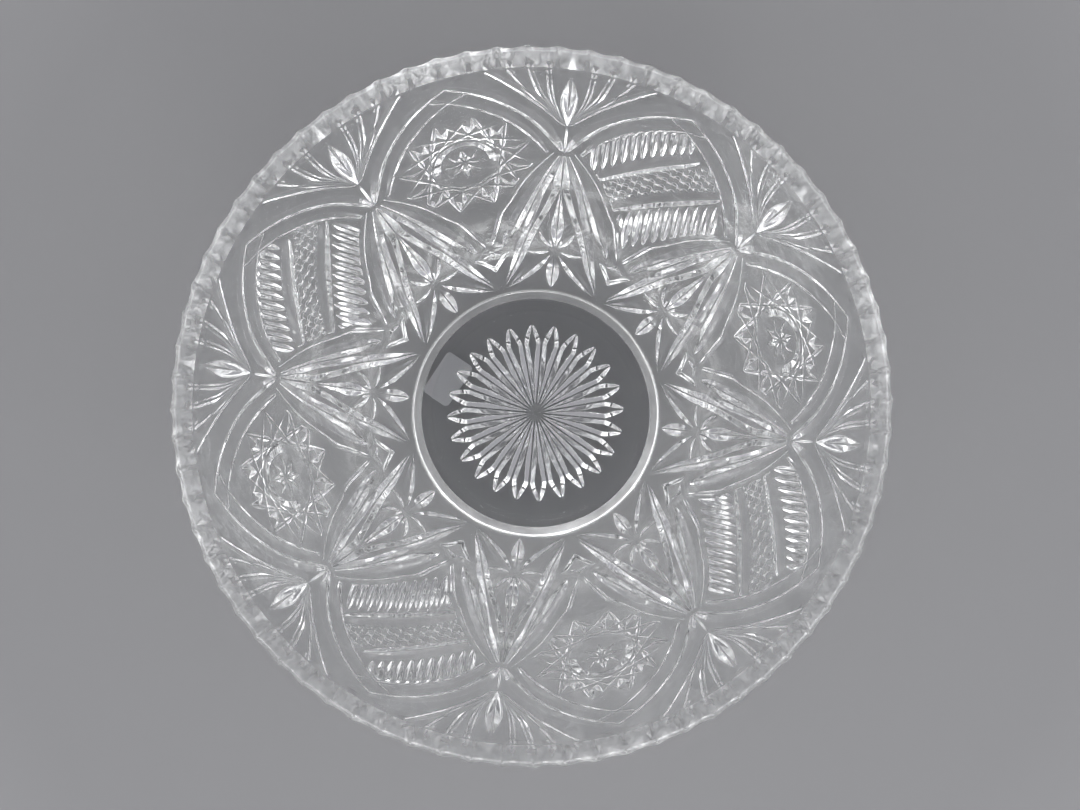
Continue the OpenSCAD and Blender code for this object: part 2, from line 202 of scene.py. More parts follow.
# %% Shader helpers
class Wire:
    """A node's output socket on which + - * build Math nodes."""

    def __init__(self, recipe, socket):
        self.recipe, self.socket = recipe, socket

    def _math(self, operation, a, b):
        return self.recipe.node("ShaderNodeMath", {"operation": operation}, {0: a, 1: b})

    def __add__(self, other):
        return self._math("ADD", self, other)

    def __sub__(self, other):
        return self._math("SUBTRACT", self, other)

    def __rsub__(self, other):
        return self._math("SUBTRACT", other, self)

    def __mul__(self, other):
        return self._math("MULTIPLY", self, other)

    __radd__ = __add__
    __rmul__ = __mul__


class Recipe:
    """A node tree being written."""

    def __init__(self, tree):
        self.tree = tree
        tree.nodes.clear()

    def node(self, kind, settings=None, inputs=None, output=0):
        """Adds a node: settings first, then the values or links of its sockets."""
        made = self.tree.nodes.new(kind)
        for key, value in (settings or {}).items():
            if key == "stops":
                ramp = made.color_ramp.elements
                for place, colour in value[1:-1]:
                    ramp.new(place).color = colour
                ramp[0].position, ramp[0].color = value[0]
                ramp[-1].position, ramp[-1].color = value[-1]
            else:
                setattr(made, key, value)
        for key, value in (inputs or {}).items():
            if isinstance(value, Wire):
                self.tree.links.new(value.socket, made.inputs[key])
            else:
                made.inputs[key].default_value = value
        return Wire(self, made.outputs[output]) if made.outputs else None


def new_material(name):
    """A material with nodes, and the recipe that writes them."""
    material = bpy.data.materials.new(name)
    material.use_nodes = True
    return material, Recipe(material.node_tree)


def noise(recipe, place, scale, detail):
    """Cloudy noise from 0 to 1, scale features per metre."""
    return recipe.node(
        "ShaderNodeTexNoise", None, {"Vector": place, "Scale": scale, "Detail": detail}
    )


# %% [markdown]
# ## The finishes
#
# Clear glass is a Principled shader that lets all light through. Pressed glass
# is never dead flat: the fire-polished inside has slow waves from the plunger,
# and the cut outside has a finer ripple. Both are bumps far smaller than the
# cuts. Where two pieces of the pattern touch, the real glass is one body, so
# the touching faces have zero alpha and light passes straight on.

# %% Glass and paper
GLASS_IOR = 1.52
GLASS_TINT = (0.985, 0.993, 0.99, 1)
RIPPLE_FINER, RIPPLE_SHARE = 5, 0.12
SMEARS_PER_METRE = 45


def glass(name, wave_scale, wave_height, smooth, rough):
    """Clear glass with slow waves and a roughness that drifts between two values.

    The bump's height is the waves plus a small share of a finer ripple.
    """
    material, recipe = new_material(name)
    place = recipe.node("ShaderNodeTexCoord", None, None, "Object")
    waves = noise(recipe, place, wave_scale, 1.5)
    ripple = noise(recipe, place, wave_scale * RIPPLE_FINER, 1.0)
    height = waves + ripple * RIPPLE_SHARE
    bump = recipe.node(
        "ShaderNodeBump", None, {"Strength": 1.0, "Distance": wave_height * MM, "Height": height}
    )
    smears = noise(recipe, place, SMEARS_PER_METRE, 3.0)
    roughness = smears * (rough - smooth) + smooth
    shader = recipe.node("ShaderNodeBsdfPrincipled", None, {
        "Base Color": GLASS_TINT,
        "Roughness": roughness,
        "IOR": GLASS_IOR,
        "Transmission Weight": 1.0,
        "Normal": bump,
    })
    recipe.node("ShaderNodeOutputMaterial", None, {"Surface": shader})
    return material


def joint_face(name):
    """The face between two pieces of one body of glass: light goes straight on."""
    material, recipe = new_material(name)
    shader = recipe.node("ShaderNodeBsdfPrincipled", None, {
        "Base Color": GLASS_TINT,
        "IOR": GLASS_IOR,
        "Transmission Weight": 1.0,
        "Alpha": 0.0,
    })
    recipe.node("ShaderNodeOutputMaterial", None, {"Surface": shader})
    return material


def paper(name):
    """Matt label paper: faint fibres in its colour and a fine tooth."""
    material, recipe = new_material(name)
    place = recipe.node("ShaderNodeTexCoord", None, None, "Object")
    fibres = noise(recipe, place, 900, 6.0)
    clouds = noise(recipe, place, 60, 2.0)
    blend = recipe.node(
        "ShaderNodeMix",
        {"data_type": "RGBA"},
        {0: fibres * 0.6 + clouds * 0.4, 6: (0.82, 0.82, 0.84, 1), 7: (0.95, 0.95, 0.96, 1)},
        2,
    )
    bump = recipe.node(
        "ShaderNodeBump", None, {"Strength": 0.4, "Distance": 0.05 * MM, "Height": fibres}
    )
    shader = recipe.node("ShaderNodeBsdfPrincipled", None, {
        "Base Color": blend, "Roughness": 0.85, "Normal": bump,
    })
    recipe.node("ShaderNodeOutputMaterial", None, {"Surface": shader})
    return material


polished_glass = glass("fire_polished_glass", 38, 0.10, 0.004, 0.02)
cut_glass = glass("pressed_cut_glass", 140, 0.03, 0.01, 0.05)
ground_glass = glass("ground_rim_glass", 160, 0.06, 0.06, 0.22)
glass_joint = joint_face("glass_joint")
label_paper = paper("label_paper")
GLASS = [cut_glass, glass_joint]
print("finishes:", [m.name for m in bpy.data.materials if m.use_nodes and m.users])

# %% [markdown]
# ## How a vee cut shapes the glass
#
# The pattern is worked out like a cutter's layout on the unrolled wall: across
# is the angle times the wall's radius, and up is s. Every cut is a vee. At a
# point its depth is a slope times what is left of the half width after the
# distance to the cut's line. Where cuts cross, the deeper one wins, which is
# what leaves the sharp pyramids of cut glass. A cap keeps the wide cuts from
# going through, and gives them their narrow flat bottom.

# %% Cutting tools
CUT_SLOPE = 0.95
DEEPEST = 3.5
STEP = 360 / 8
HALF = STEP / 2


def unroll(q, s):
    """Millimetres round the wall and up it, for angle q and distance s."""
    return np.radians(q) * wall_curve(s)[1], np.asarray(s, float)


def smooth_path(path, steps=5):
    """A path through the given rows, eased by a Catmull-Rom curve.

    Each stretch is a cubic that passes through its two ends, with its slope at
    an end taken from the rows on either side.
    """
    p = np.asarray(path, float)
    if len(p) < 3:
        return p
    ends = np.vstack([2 * p[0] - p[1], p, 2 * p[-1] - p[-2]])
    t = np.linspace(0, 1, steps, endpoint=False)[:, None]
    a, b, c, d = ends[:-3, None], ends[1:-2, None], ends[2:-1, None], ends[3:, None]
    curve = 0.5 * (2 * b + (c - a) * t + (2 * a - 5 * b + 4 * c - d) * t ** 2
                   + (3 * b - a - 3 * c + d) * t ** 3)
    return np.vstack([curve.reshape(-1, p.shape[1]), p[-1]])


def groove(x, y, path, slope=CUT_SLOPE):
    """Depth of a vee along a path of [q, s, half width] at points x, y."""
    path = smooth_path(path)
    px, py = unroll(path[:, 0], path[:, 1])
    depth = np.zeros_like(x)
    for x0, y0, w0, x1, y1, w1 in zip(px, py, path[:, 2], px[1:], py[1:], path[1:, 2]):
        dx, dy = x1 - x0, y1 - y0
        t = np.clip(((x - x0) * dx + (y - y0) * dy) / (dx * dx + dy * dy), 0, 1)
        away = np.hypot(x - x0 - t * dx, y - y0 - t * dy)
        depth = np.maximum(depth, slope * (w0 + (w1 - w0) * t - away))
    return depth


def stroke(x, y, start, end, half_width, blunt=1.0, slope=CUT_SLOPE, widest=None):
    """Depth of a straight wheel cut between two points, pointed at both ends.

    Its half width follows a hump, 4 t (1 - t) to the power blunt, along it. With
    a share for widest, the sides run straight to that place and straight back.
    """
    (x0, y0), (x1, y1) = start, end
    dx, dy = x1 - x0, y1 - y0
    length = np.hypot(dx, dy)
    t = ((x - x0) * dx + (y - y0) * dy) / length ** 2
    away = np.abs((x - x0) * dy - (y - y0) * dx) / length
    if widest is None:
        hump = np.clip(4 * t * (1 - t), 0, 1) ** blunt
    else:
        hump = np.interp(t, [0, widest, 1], [0, 1, 0])
    return np.maximum(slope * (half_width * hump - away), 0)


print("a cut 4 mm wide is", 2 * CUT_SLOPE, "mm deep")

# %% [markdown]
# ## The layout of the pattern
#
# Eight knots stand evenly round the bowl, where the arches meet. Arches spring
# from knot to knot, legs run down from each knot to the foot, and a fan opens
# above it. The edges between these regions are given as half widths in degrees
# at a few heights, and are straight in between.

# %% Region edges
KNOT_S, STAR_S, HOBSTAR_S, APEX_S, FAN_S, RIM_S = 83.7, 20.3, 82.4, 123.6, 102.4, 138.5
NAIL_LOW, NAIL_HIGH, NAIL_HALF = 16.6, 24.2, 5.1


def table(rows):
    """A straight-line function through rows of [s, value]."""
    s, value = np.transpose(rows)
    return lambda at: np.interp(at, s, value)


leg_edge = table([[24.3, 22.4], [33.4, 19.9], [44.5, 17.2], [52, 14], [68.6, 8.7], [83.7, 3.5]])
foot_edge = table([[0, 22.45], [3, 22.4], [9.5, 20], [16.5, 17.4], [24.2, 17.4]])
inner_arch = table([[83.7, 3.5], [91.7, 5.5], [103.7, 10.9], [116.3, 17.5], [123.6, 22.4]])
fan_edge = table([[102.2, 0.1], [104, 1.2], [119.2, 7.1], [132.2, 12], [139.4, 15.2]])


def panel_edge(s):
    """Half width of a panel, measured from the middle of its arch."""
    return HALF - np.where(np.asarray(s) < KNOT_S, leg_edge(s), inner_arch(s))


print("regions meet at", HALF, "degrees")

# %% [markdown]
# ## The cuts round each knot
#
# Most of the pattern mirrors about the upright line through a knot: two broad
# grooves in each leg with a sharp ridge between them, a thin border, the small
# star with its wings, the crossing ribs of the arches, and the fan. Each line
# below is one cut, as rows of [degrees from the knot, distance up, half width].

# %% Knot cuts
LEG_NEAR = [[0.5, 81, 1.0], [2.2, 66, 3.9], [3.0, 59, 4.9], [4.9, 48, 4.7], [6.9, 39, 4.2],
            [13, 17.5, 3.1], [18.6, 6.5, 1.1], [21.6, 3, 0.3]]
LEG_FAR = [[1.4, 81, 0.7], [5.1, 66, 2.4], [8.6, 52, 3.5], [12.9, 37, 3.4], [15.6, 30, 2.6],
           [17.6, 24.8, 0.8]]
LEG_BORDER = [[2.6, 83, 0.6], [8.9, 66, 1.0], [13.5, 51.5, 1.2], [16.7, 43.5, 1.3],
              [19.4, 33, 1.2], [22.5, 23.6, 0.8]]
RIB_OUTER = [[0.7, 86, 1.4], [2.9, 95, 2.7], [7.5, 108.5, 2.4], [14.9, 124, 1.9], [22.5, 135.4, 1.2]]
RIB_INNER = [[4.0, 84, 0.9], [6.4, 92.5, 1.7], [11.4, 105.8, 1.7], [17.8, 118.2, 1.5],
             [22.5, 125.2, 1.2], [25.6, 129.2, 0.9], [22.5, 135.0, 0.6]]
WING = [[1.4, 18.6, 0.4], [6, 13.5, 3.0], [11, 8.8, 3.0], [17, 4.2, 1.2], [22.4, 2.2, 0.2]]
FAN_EDGE = [[0.4, 103, 0.4], [1.5, 105, 0.9], [6.2, 118.5, 1.6], [10.9, 131, 1.5], [14.6, 141, 1.0]]
FAN_RAYS = [
    [[0.6, 104.5, 0.2], [2.5, 115, 1.0], [3.5, 126, 1.5], [3.9, 141, 1.3]],
    [[0.9, 105, 0.2], [3.6, 116, 1.2], [5.5, 125, 1.7], [7.1, 141, 1.5]],
    [[1.3, 106, 0.3], [4.9, 117, 2.0], [7.0, 123.5, 2.3], [9.4, 131, 0.3]],
    [[4.6, 119, 0.2], [8.4, 130, 1.3], [10.6, 141, 1.5]],
]
NEAR_MIDDLE = 1.5
KNOT_PATHS = [LEG_NEAR, LEG_FAR, LEG_BORDER, RIB_OUTER, RIB_INNER, WING, FAN_EDGE, *FAN_RAYS]
CENTRE_PATHS = [
    [[0, 84, 0.5], [0, 93, 0.6], [0, 103, 0.4]],
    [[0, 103, 0.4], [0, 110, 2.4], [0, 117, 3.7], [0, 123, 3.9], [0, 130, 2.6], [0, 138.5, 0.2]],
    [[0, 22, 0.3], [0, 28, 2.2], [0, 35, 3.3], [0, 46, 1.9], [0, 60, 0.2]],
    [[0, 18.8, 0.3], [0, 13, 2.9], [0, 9, 3.4], [0, 5, 2.2], [0, 1.2, 0.2]],
]
# Heading from straight up, where the arm starts and ends from the star's middle, half width.
SHORT_ARMS = [(35, 2.0, 15, 2.4), (90, 2.0, 13.5, 2.2)]


def knot_cuts(q, s):
    """Deepest of the cuts that belong to the knot at q = 0, and their mirrors.

    Taking the size of x draws both halves at once. A cut that starts near the
    middle line also reaches past it, so it is drawn from both sides.
    """
    x, y = unroll(q, s)
    ax = np.abs(x)
    depth = np.zeros_like(x)
    for path in KNOT_PATHS:
        depth = np.maximum(depth, groove(ax, y, path))
        if min(row[0] for row in path) < NEAR_MIDDLE:
            depth = np.maximum(depth, groove(-ax, y, path))
    for path in CENTRE_PATHS:
        depth = np.maximum(depth, groove(ax, y, path))
    for heading, near, far, width in SHORT_ARMS:
        aim = np.array([np.sin(np.radians(heading)), np.cos(np.radians(heading))])
        ends = [np.array([0, STAR_S]) + aim * reach for reach in (near, far)]
        depth = np.maximum(depth, stroke(ax, y, *ends, width))
    return depth


# %% [markdown]
# ## The cuts in the panels
#
# A hobstar has twelve tips. A kite-shaped cut fills each tip, and twelve thin
# cuts each run from one tip to the fourth tip on. Inside them a round shoulder
# slopes up to a hub with a small star of its own. The banded panel is slanted:
# two deep mitres mark off a band of fine stars, with a row of long pointed
# flutes above and below it.

# %% Panel cuts
HOBSTAR_R = 32.0
TIPS = 12
TIP_TURN = 15
CHORD_SKIP, CHORD_HALF, CHORD_BLUNT = 4, 1.6, 0.4
KITE_START, KITE_END, KITE_HALF = 1.01, 0.56, 3.5
HUB_R, HUB_FLAT_R = 0.48 * HOBSTAR_R, 0.34 * HOBSTAR_R
HUB_DEPTH, SHOULDER_DEPTH = 0.2, 3.0
HUB_RAYS, HUB_RAY_START, HUB_RAY_END, HUB_RAY_HALF = 8, 0.4, 11, 2.3


def rays_from(count, first):
    """Unit steps at equal turns, clockwise from straight up, the first at first degrees."""
    turn = np.radians(first + 360 / count * np.arange(count))
    return np.stack([np.sin(turn), np.cos(turn)], -1)


def hobstar_cuts(q, s):
    """Deepest of the cuts of a hobstar whose middle is at q = 0."""
    x, y = unroll(q, s)
    y = y - HOBSTAR_S
    depth = np.zeros_like(x)
    tips = HOBSTAR_R * rays_from(TIPS, TIP_TURN)
    for tip, onward in zip(tips, np.roll(tips, -CHORD_SKIP, 0)):
        chord = stroke(x, y, tip, onward, CHORD_HALF, CHORD_BLUNT)
        kite = stroke(x, y, tip * KITE_START, tip * KITE_END, KITE_HALF, widest=0.5)
        depth = np.maximum(depth, np.maximum(chord, kite))
    middle = np.hypot(x, y)
    cone = np.interp(middle, [HUB_FLAT_R, HUB_R], [HUB_DEPTH, SHOULDER_DEPTH])
    depth = np.where(middle < HUB_R, cone, depth)
    for ray in rays_from(HUB_RAYS, 0):
        arm = stroke(x, y, ray * HUB_RAY_START, ray * HUB_RAY_END, HUB_RAY_HALF, widest=0.4)
        depth = np.maximum(depth, arm)
    return depth


BAND_TURN = np.radians(43)
BAND_TOP, BAND_FOOT = -12.0, 8.0
# For each mitre: its line, its two ends along the band.
MITRES = [(BAND_TOP, -29, 30), (BAND_FOOT, -31, 34)]
MITRE_HALF, MITRE_BLUNT, MITRE_SLOPE = 4.4, 0.35, 0.74
STAR_PITCH, STAR_SHIFT, STAR_REACH = 7.2, 2, 0.56
STAR_RAYS, STAR_RAY_HALF, STAR_SLOPE, STAR_WIDEST = 8, 1.0, 1.4, 0.12
FLUTES, FLUTE_BLUNT, FLUTE_CLEAR, FLUTE_START = 11, 0.6, 3.6, 4.2
FLUTE_RUN = np.array([-0.18, 1.0])
# For each row of flutes: side, line, first place, pitch, length, half width.
FLUTE_ROWS = [(-1, BAND_TOP, -26, 5.3, 30, 2.1), (1, BAND_FOOT, -28, 5.6, 24, 2.2)]


def band_point(u, v):
    """Place of band coordinates u, along the band, and v, across it."""
    return np.array([
        -u * np.sin(BAND_TURN) + v * np.cos(BAND_TURN),
        -u * np.cos(BAND_TURN) - v * np.sin(BAND_TURN),
    ])


def star_lattice(u, v):
    """Depth of small eight-rayed stars at the nodes of a staggered lattice.

    Each point is folded into the cell of its nearest node, and the eight rays
    are then short strokes from that node.
    """
    depth = np.zeros_like(u)
    for shift in (0, 0.5):
        du = ((u / STAR_PITCH + shift + 0.5) % 1 - 0.5) * STAR_PITCH
        dv = ((v / STAR_PITCH + shift + 0.5) % 1 - 0.5) * STAR_PITCH
        for ray in rays_from(STAR_RAYS, 22.5) * STAR_PITCH * STAR_REACH:
            cut = stroke(du, dv, 0 * ray, ray, STAR_RAY_HALF, slope=STAR_SLOPE, widest=STAR_WIDEST)
            depth = np.maximum(depth, cut)
    return depth


def band_cuts(q, s):
    """Deepest of the cuts of the banded panel whose middle is at q = 0."""
    x, y = unroll(q, s)
    y = y - HOBSTAR_S
    u = -x * np.sin(BAND_TURN) - y * np.cos(BAND_TURN)
    v = x * np.cos(BAND_TURN) - y * np.sin(BAND_TURN)
    depth = np.zeros_like(x)
    for line, start, end in MITRES:
        ends = band_point(start, line), band_point(end, line)
        mitre = stroke(x, y, *ends, MITRE_HALF, MITRE_BLUNT, MITRE_SLOPE)
        depth = np.maximum(depth, mitre)
    inside = np.clip(np.minimum(v - BAND_TOP - 3.6, BAND_FOOT - 3.4 - v), 0, 0.6) / 0.6
    depth = np.maximum(depth, star_lattice(u, v + STAR_SHIFT) * inside)
    for side, line, first, pitch, length, half_width in FLUTE_ROWS:
        beyond = (v - line) * side > FLUTE_CLEAR
        for k in range(FLUTES):
            start = band_point(first + pitch * k, line + side * FLUTE_START)
            flute = stroke(x, y, start, start - side * FLUTE_RUN * length, half_width, FLUTE_BLUNT)
            depth = np.maximum(depth, np.where(beyond, flute, 0))
    return depth


print("hobstar with", TIPS, "tips and bands at", round(float(np.degrees(BAND_TURN))), "degrees")

# %% [markdown]
# ## The height of the glass everywhere
#
# One function gives the height of the outer face at any place. Neighbouring
# pieces read the same function, so they meet without a step. Panel cuts run
# out just before the panel's edge. The nailhead is a low kite-shaped pyramid
# that rises from a groove round it.

# %% Relief
NAIL_PEAK = 0.6
NAIL_EDGE_DEPTH = 3.2
NAIL_HALF_WIDTH, NAIL_ABOVE, NAIL_BELOW = 4.9, 3.8, 5.2
NAIL_SURROUND = 4.2
PANEL_MARGIN, PANEL_EASE = 1.2, 0.8


def nailhead_depth(q, s):
    """Depth about the kite-shaped nailhead at q = 0; negative where it stands proud.

    Inside, the height falls from the peak in proportion to the share of the way
    to the kite's edge; outside, a vee flank climbs back to the surface.
    """
    x, y = unroll(q, s)
    rise = y - (NAIL_HIGH + NAIL_LOW) / 2
    share = np.abs(x) / NAIL_HALF_WIDTH + np.maximum(rise / NAIL_ABOVE, -rise / NAIL_BELOW)
    inside = NAIL_EDGE_DEPTH * share - NAIL_PEAK * (1 - share)
    outside = np.maximum(NAIL_EDGE_DEPTH - CUT_SLOPE * NAIL_SURROUND * (share - 1), 0)
    return np.where(share < 1, inside, outside), share < 1


def relief(q, s, panel=None):
    """Height of the outer face above the smooth wall, in millimetres.

    It is the thickness of the pattern less the deepest cut. q is measured from
    a knot, and cuts from the knots on either side are included.
    """
    depth = np.maximum(knot_cuts(q, s), knot_cuts(q - STEP, s))
    depth = np.maximum(depth, knot_cuts(q + STEP, s))
    if panel is not None:
        to_edge = (panel_edge(s) - np.abs(q - HALF)) * np.radians(1) * wall_curve(s)[1]
        ease = np.clip((to_edge - PANEL_MARGIN) / PANEL_EASE, 0, 1)
        depth = np.maximum(depth, panel(q - HALF, s) * ease)
    for middle in (-HALF, HALF):
        nail, inside = nailhead_depth(q - middle, s)
        depth = np.where(inside, nail, np.maximum(depth, nail))
    return PATTERN - np.minimum(depth, DEEPEST)


# %% [markdown]
# ## A curved slab of pattern
#
# A piece of the pattern is a closed slab: a fine outer face that follows the
# relief, a coarse inner face that lies on the smooth wall, and side walls. Each
# side wall is a many-sided face from one coarse step to the fine steps above.
# Slabs with legs, such as an arch, are several patches whose shared corners are
# welded; a wall is left out wherever two patches share an edge.

# %% Slab maker
CELL = 0.45
COARSE = 8
SKIN_GAP = 0.05


def steps_for(length, cell=CELL):
    """Number of fine steps along a length, in whole coarse steps."""
    return COARSE * max(1, int(np.ceil(length / (cell * COARSE))))


def patch(s_stops, left, right, width, cell=CELL):
    """Grids of q and s: rows up the wall, columns evenly between two edges."""
    s = np.concatenate([
        np.linspace(a, b, steps_for(b - a, cell), endpoint=False)
        for a, b in zip(s_stops, s_stops[1:])
    ] + [[s_stops[-1]]])
    t = np.linspace(0, 1, steps_for(width, cell) + 1)
    lo, hi = left(s)[:, None], right(s)[:, None]
    return lo + (hi - lo) * t, np.repeat(s[:, None], len(t), 1)


def weld(points, shift):
    """Corner numbers with equal places sharing one number, and the places kept."""
    _, first, number = np.unique(
        np.round(points, 5), axis=0, return_index=True, return_inverse=True
    )
    return points[first], number.ravel() + shift


def slab(patches, heights, turn):
    """Points and face groups of a closed slab, turned about the axis by turn."""
    fine = [on_wall(q + turn, s, h) for (q, s), h in zip(patches, heights)]
    coarse = [
        on_wall(q[::COARSE, ::COARSE] + turn, s[::COARSE, ::COARSE], SKIN_GAP)
        for q, s in patches
    ]
    top_points, top_number = weld(np.vstack(fine), 0)
    low_points, low_number = weld(np.vstack(coarse), len(top_points))
    tops, lows, walls = [], [], []
    top_at = low_at = 0
    for q, _ in patches:
        n, m = q.shape
        t = top_number[top_at:top_at + n * m].reshape(n, m)
        top_at += n * m
        n, m = len(range(0, n, COARSE)), len(range(0, m, COARSE))
        b = low_number[low_at:low_at + n * m].reshape(n, m)
        low_at += n * m
        tops.append(np.stack([t[:-1, :-1], t[1:, :-1], t[1:, 1:], t[:-1, 1:]], -1).reshape(-1, 4))
        lows.append(np.stack([b[:-1, :-1], b[:-1, 1:], b[1:, 1:], b[1:, :-1]], -1).reshape(-1, 4))
        for line, ground, onward in [
            (t[0], b[0], True), (t[-1], b[-1], False), (t[:, -1], b[:, -1], True), (t[:, 0], b[:, 0], False)
        ]:
            runs = line[np.arange(0, len(line) - 1, COARSE)[:, None] + np.arange(COARSE + 1)]
            wall = np.hstack([ground[:-1, None], runs, ground[1:, None]])
            walls.append(wall if onward else wall[:, ::-1])
    walls = np.vstack(walls)
    key = np.sort(walls[:, [0, -1]], 1)
    _, number, times = np.unique(key, axis=0, return_inverse=True, return_counts=True)
    walls = walls[times[number.ravel()] == 1]
    points = np.vstack([top_points, low_points])
    return points, [(np.vstack(tops), AIR), (np.vstack(lows), JOINT), (walls, JOINT)]


def pattern_pieces(kind, places, patches, panel=None):
    """Makes one slab for each place (name, knot number), all with the same relief."""
    heights = [relief(q, s, panel) for q, s in patches]
    for name, k in places:
        points, groups = slab(patches, heights, STEP * k)
        piece = make_piece(name, points, groups, GLASS)
        place_piece(piece, name)
    faces = sum(len(f) for f, _ in groups)
    print(f"{kind}: {len(places)} pieces of {faces} faces")


# %% [markdown]
# ## The pattern pieces
#
# Panels, arches and nailheads lie between two knots. Gussets and fans lie on a
# knot. A gusset is a lower patch, which fits between the nailheads, and a wider
# upper one in three strips. An arch is two legs that join above the panel's point.

# %% Panels
def panel_left(s):
    """Left edge of a panel, in degrees from the knot before it."""
    return HALF - panel_edge(s)


def panel_right(s):
    """Right edge of a panel, in degrees from the knot before it."""
    return HALF + panel_edge(s)


PANEL_CELL = 0.42
panel_patch = [patch([24.4, KNOT_S, APEX_S], panel_left, panel_right, 78, PANEL_CELL)]
pattern_pieces("hobstar panels", [(f"hobstar_panel_{n}", 2 * n - 1) for n in range(1, 5)],
               panel_patch, hobstar_cuts)
pattern_pieces("band panels", [(f"band_panel_{n}", 2 * n - 2) for n in range(1, 5)],
               panel_patch, band_cuts)

# %% Arch frames
def leg_left(s):
    """Left edge of an arch's left leg: its fan's edge."""
    return np.where(s < KNOT_S + 0.05, 0.1, fan_edge(s))


def leg_right(s):
    """Right edge of the left leg: the panel's edge, then the middle of the arch."""
    return np.where(s > APEX_S - 0.01, HALF, inner_arch(s))


left_leg = patch([KNOT_S, APEX_S, RIM_S], leg_left, leg_right, 24)
right_leg = (STEP - left_leg[0][:, ::-1], left_leg[1][:, ::-1])
pattern_pieces("arch frames", [(f"arch_frame_{n}", n - 1) for n in range(1, 9)],
               [left_leg, right_leg])

# %% Star gussets
NOTCH = HALF - NAIL_HALF


def gusset_patches():
    """Lower patch between the nailheads, and the wider upper patch in three strips."""
    low = patch([0, NAIL_HIGH], lambda s: -foot_edge(s), foot_edge, 52)
    share = NOTCH / leg_edge(NAIL_HIGH)
    strips = [(-1, -share, 8), (-share, share, 52), (share, 1, 8)]
    high = [
        patch([NAIL_HIGH, KNOT_S], lambda s, a=a: a * leg_edge(s), lambda s, b=b: b * leg_edge(s), w)
        for a, b, w in strips
    ]
    return [low, *high]


pattern_pieces("star gussets", [(f"star_gusset_{n}", n - 1) for n in range(1, 9)],
               gusset_patches())

# %% Fans and nailheads
fan_patch = [patch([FAN_S, RIM_S], lambda s: -fan_edge(s), fan_edge, 36)]
pattern_pieces("fans", [(f"fan_{n}", n - 1) for n in range(1, 9)], fan_patch)


def nail_left(s):
    """Left edge of a nailhead and the plain point below it."""
    return foot_edge(s)


def nail_right(s):
    """Right edge, the mirror of the left about the middle of the arch."""
    return STEP - foot_edge(s)


nail_patch = [patch([0, NAIL_HIGH], nail_left, nail_right, 14)]
pattern_pieces("nailheads", [(f"nailhead_{n}", n - 1) for n in range(1, 9)], nail_patch)

# %% [markdown]
# ## Turned pieces
#
# The smooth wall and the foot are profiles turned about the upright axis. A
# profile is a closed line of [radius, height] rows. Where it touches the axis
# the grid closes in a single point. Each stretch of the profile has a zone.

# %% Turned work
def turned(name, profile, zones, columns, materials, height_at=None):
    """A closed profile turned about the axis; faces of stretch i are in zones[i].

    profile is rows of [radius, height]; it starts and ends on the axis, or
    closes on itself. Points are radius times sine and cosine of the angle.
    """
    profile = np.asarray(profile, float)
    n = len(profile)
    angle = np.arange(columns) / columns * 2 * np.pi
    r, z = profile[:, :1] + 0 * angle, profile[:, 1:] + 0 * angle
    if height_at is not None:
        z = z + height_at(r, np.degrees(angle))
    points = np.stack([r * np.sin(angle), r * np.cos(angle), z], -1).reshape(-1, 3)
    numbers = np.arange(n * columns).reshape(n, columns)
    open_ends = profile[0, 0] == 0 and profile[-1, 0] == 0
    rows = np.arange(n - 1) if open_ends else np.arange(n)
    groups = []
    for i in rows:
        a, b = numbers[i], numbers[(i + 1) % n]
        if profile[i, 0] == 0:
            face = np.stack([np.full(columns, a[0]), b, np.roll(b, -1)], -1)
        elif profile[(i + 1) % n, 0] == 0:
            face = np.stack([a, np.full(columns, b[0]), np.roll(a, -1)], -1)
        else:
            face = np.stack([a, b, np.roll(b, -1), np.roll(a, -1)], -1)
        groups.append((face, zones[i]))
    used = np.unique(np.concatenate([f.ravel() for f, _ in groups]))
    renumber = np.zeros(len(points), int)
    renumber[used] = np.arange(len(used))
    groups = [(renumber[f], zone) for f, zone in groups]
    return make_piece(name, points[used], groups, materials)


def along(start, end, count):
    """Evenly spaced rows from start up to but not including end."""
    t = np.linspace(0, 1, count, endpoint=False)[:, None]
    return np.asarray(start, float) * (1 - t) + np.asarray(end, float) * t


base_low, base_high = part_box("base_star")
FLOOR_UNDER = base_high.z / MM
BASE_UNDER = base_low.z / MM
STAR_R = base_high.x / MM
RING_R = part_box("base_ring")[1].x / MM
CUT_S = WALL_S - 4.5
print("base recess", round(BASE_UNDER, 2), "mm, floor underside", round(FLOOR_UNDER, 2), "mm")

# %% Smooth inner wall
def wall_profile():
    """Profile from the middle of the underside, up the outside, and back down the inside."""
    floor_top = FLOOR_UNDER + WALL_THICKNESS
    inside_s = np.linspace(0, CUT_S, 110)
    inside = np.stack(section(inside_s, -WALL_THICKNESS), -1)
    radii = np.linspace(0, RING_R - 4, 24)
    floor = np.stack([radii, np.full(24, floor_top)], -1)
    bend = inside[:10]
    blend = smooth_path(np.vstack([floor[-2:], bend[3:6]]), 4)
    inner = np.vstack([floor[:-2], blend, inside[6:]])[::-1]
    outside_s = np.linspace(0, CUT_S, 60)
    outside = np.stack(section(outside_s, 0), -1)
    under = np.array([[0, FLOOR_UNDER], [RING_R, FLOOR_UNDER]])
    profile = np.vstack([under, outside, inner])
    zones = [JOINT] * (len(outside) + len(under)) + [AIR] * (len(inner) - 1)
    return profile, zones


profile, zones = wall_profile()
wall = turned("glass_bowl_wall", profile, zones, 240, [polished_glass, glass_joint])
place_piece(wall, "bowl_wall")
print("smooth wall:", len(wall.data.polygons), "faces")

# %% [markdown]
# ## The base
#
# The underside of the bowl is recessed inside the foot. It holds a star of 24
# long rays that touch side by side, then close to leaf-shaped points. Round
# the star run two soft rings left by the mould. The foot's inner flank slants,
# so that from above it turns light and shows as a pale ring.

